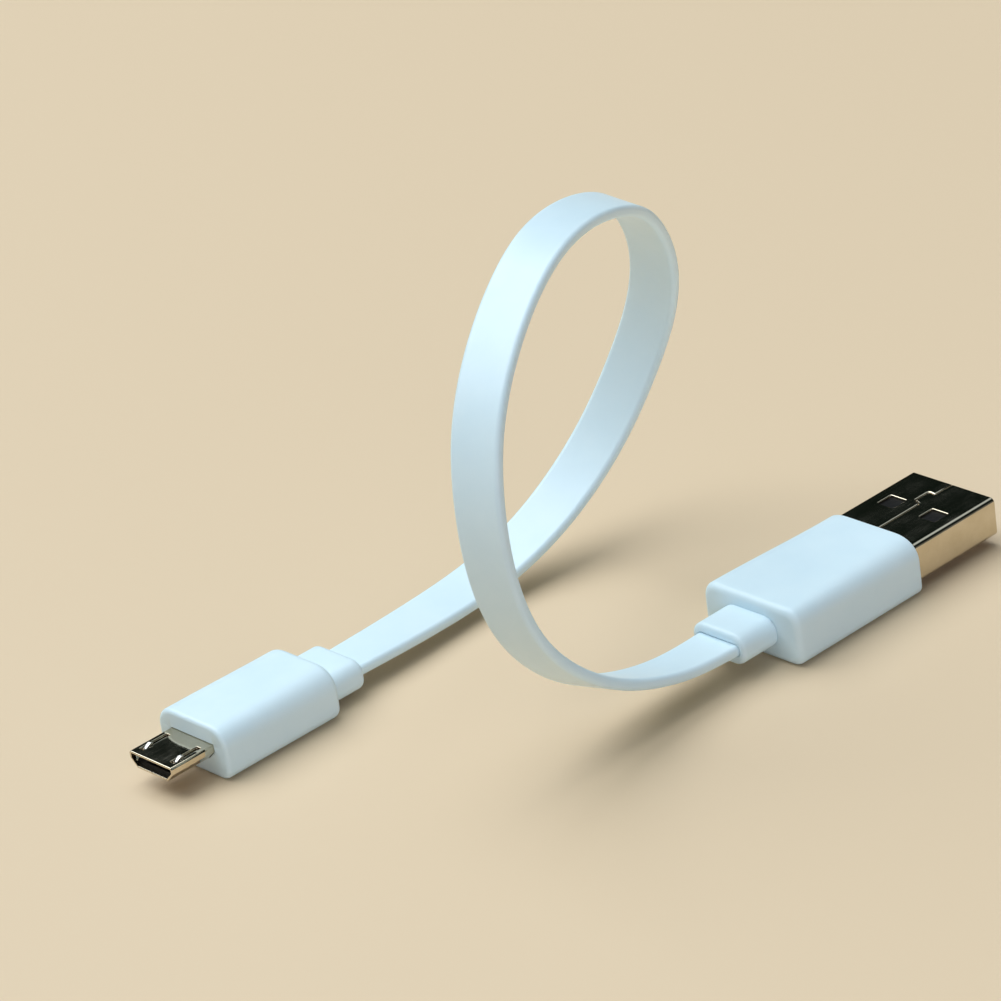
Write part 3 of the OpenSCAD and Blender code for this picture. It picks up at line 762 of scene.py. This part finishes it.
def plated_metal(name, low, high, rough, scratch=(1, 1, 1)):
    """Bright plate: fine rubbed lines, a faint roll of the sheet, small dull patches."""
    material, nodes, links, shader = new_material(name)
    plain = coordinates(nodes, links)
    rubbed = coordinates(nodes, links, scale=scratch)
    lines = noise(nodes, links, rubbed, scale=2600, detail=3, roughness=0.6)
    patches = noise(nodes, links, plain, scale=330, detail=5, roughness=0.65)
    links.new(two_tone(nodes, links, patches, low, high), shader.inputs["Base Color"])
    blend = nodes.new("ShaderNodeMath")
    blend.operation = "MULTIPLY"
    links.new(lines, blend.inputs[0])
    links.new(patches, blend.inputs[1])
    links.new(between(nodes, links, blend.outputs[0], *rough, from_low=0.12, from_high=0.42),
              shader.inputs["Roughness"])
    normal = bump(nodes, links, lines, strength=0.12, distance=0.000004)
    roll = noise(nodes, links, plain, scale=190, detail=1)
    normal = bump(nodes, links, roll, strength=0.2, distance=0.00003, normal=normal)
    links.new(normal, shader.inputs["Normal"])
    shader.inputs["Metallic"].default_value = 1.0
    return material


def hard_plastic(name, low, high, rough, gloss=0.5):
    """Plain hard plastic: a slight mottle, an uneven sheen and a very fine grain."""
    material, nodes, links, shader = new_material(name)
    shader.inputs["Specular IOR Level"].default_value = gloss
    plain = coordinates(nodes, links)
    mottle = noise(nodes, links, plain, scale=700, detail=4)
    links.new(two_tone(nodes, links, mottle, low, high), shader.inputs["Base Color"])
    sheen = noise(nodes, links, plain, scale=1500, detail=3)
    links.new(between(nodes, links, sheen, *rough), shader.inputs["Roughness"])
    grain = noise(nodes, links, plain, scale=9000, detail=2)
    links.new(bump(nodes, links, grain, strength=0.3, distance=0.00001), shader.inputs["Normal"])
    return material


def white_plastic(name, **finish):
    """The cool white of the grips and the jacket."""
    return soft_plastic(name, (0.67, 0.84, 0.93), (0.71, 0.87, 0.95), **finish)


MATERIALS = {
    "white_grip": white_plastic("white_grip", rough=(0.38, 0.5), grain_scale=9000, grain=0.25),
    "white_jacket": white_plastic("white_jacket", rough=(0.34, 0.44), grain_scale=11000,
                                  grain=0.15, streaks=True),
    "nickel_shell": plated_metal("nickel_shell", (0.60, 0.53, 0.40), (0.68, 0.61, 0.49),
                                 rough=(0.05, 0.16), scratch=(0.06, 1, 1)),
    "latch_steel": plated_metal("latch_steel", (0.60, 0.58, 0.54), (0.68, 0.66, 0.62),
                                rough=(0.12, 0.25), scratch=(0.06, 1, 1)),
    "gold_plate": plated_metal("gold_plate", (0.86, 0.62, 0.25), (0.93, 0.70, 0.33),
                               rough=(0.14, 0.3), scratch=(0.1, 1, 1)),
    "solder": plated_metal("solder", (0.52, 0.52, 0.53), (0.64, 0.64, 0.65), rough=(0.25, 0.5)),
    "tongue_plastic": hard_plastic("tongue_plastic", (0.003, 0.003, 0.003),
                                   (0.006, 0.006, 0.006), rough=(0.45, 0.6), gloss=0.15),
    "inner_plastic": hard_plastic("inner_plastic", (0.78, 0.79, 0.78), (0.84, 0.85, 0.84),
                                  rough=(0.45, 0.6)),
    "wire_red": hard_plastic("wire_red", (0.45, 0.03, 0.02), (0.55, 0.04, 0.03),
                             rough=(0.3, 0.45)),
    "wire_white": hard_plastic("wire_white", (0.78, 0.78, 0.76), (0.85, 0.85, 0.84),
                               rough=(0.3, 0.45)),
    "wire_green": hard_plastic("wire_green", (0.02, 0.25, 0.07), (0.03, 0.33, 0.1),
                               rough=(0.3, 0.45)),
    "wire_black": hard_plastic("wire_black", (0.015, 0.015, 0.015), (0.03, 0.03, 0.03),
                               rough=(0.3, 0.45)),
}


def dress(obj, slot):
    obj.data.materials.clear()
    obj.data.materials.append(MATERIALS[slot])


for piece, slot in pieces:
    dress(piece, slot)
for part in frame["record"]["subparts"]:
    if part["node"] in frame["nodes"]:
        dress(frame["nodes"][part["node"]], part["material_slot"])

# ------------------------------------------------------------------ floor and light
FLOOR_HALF = 3.0                          # metres
FLOOR_COLOR = (0.72, 0.565, 0.385)
FLOOR_ROUGHNESS = 0.55
UPWARD = (0.0, 0.25, 1.0)                 # straight up, and a little to the back
SKY = (                                   # colours by height, from the horizon to overhead
    (0.00, (0.20, 0.20, 0.19)),
    (0.30, (0.006, 0.010, 0.008)),
    (0.68, (0.008, 0.013, 0.011)),
    (0.76, (0.62, 0.70, 0.75)),
    (1.00, (0.62, 0.71, 0.76)),
)


def make_floor():
    corners = [(-1, -1, 0), (1, -1, 0), (1, 1, 0), (-1, 1, 0)]
    floor = add_mesh("floor", np.array(corners) * FLOOR_HALF, [(0, 1, 2, 3)])
    material, _, _, shader = new_material("floor")
    shader.inputs["Base Color"].default_value = (*FLOOR_COLOR, 1)
    shader.inputs["Roughness"].default_value = FLOOR_ROUGHNESS
    floor.data.materials.append(material)


def make_world():
    """A bright ceiling over dark walls that pale towards the floor."""
    world = bpy.data.worlds.new("studio")
    world.use_nodes = True
    nodes, links = world.node_tree.nodes, world.node_tree.links
    nodes.clear()
    out = nodes.new("ShaderNodeOutputWorld")
    background = nodes.new("ShaderNodeBackground")
    links.new(background.outputs[0], out.inputs["Surface"])
    where = nodes.new("ShaderNodeTexCoord")
    height = nodes.new("ShaderNodeVectorMath")
    height.operation = "DOT_PRODUCT"
    height.inputs[1].default_value = UPWARD
    links.new(where.outputs["Generated"], height.inputs[0])
    ramp = nodes.new("ShaderNodeValToRGB")
    stops = ramp.color_ramp.elements
    for at, _ in SKY[1:-1]:
        stops.new(at)
    for stop, (at, color) in zip(stops, SKY):
        stop.position, stop.color = at, (*color, 1)
    links.new(height.outputs["Value"], ramp.inputs["Fac"])
    links.new(ramp.outputs["Color"], background.inputs["Color"])
    background.inputs["Strength"].default_value = 1.0
    bpy.context.scene.world = world


def make_light(name, direction, distance, size, power, color):
    """A square lamp in a direction from the origin, facing it; metres and watts."""
    data = bpy.data.lights.new(name, "AREA")
    data.shape = "SQUARE"
    data.size = size
    data.energy = power
    data.color = color
    lamp = bpy.data.objects.new(name, data)
    toward = Vector(direction).normalized()
    lamp.matrix_world = (Matrix.Translation(toward * distance)
                         @ toward.to_track_quat("Z", "Y").to_matrix().to_4x4())
    bpy.context.scene.collection.objects.link(lamp)


make_floor()
make_world()
make_light("key", direction=(-0.1, 0.5, 1.0), distance=2.0, size=2.1, power=42.0,
           color=(0.94, 0.98, 1.0))
make_light("fill", direction=(-0.45, -1.0, 0.3), distance=1.2, size=0.8, power=4.5,
           color=(0.82, 0.85, 0.97))
bpy.context.scene.view_settings.view_transform = "Standard"
bpy.context.scene.view_settings.look = "None"
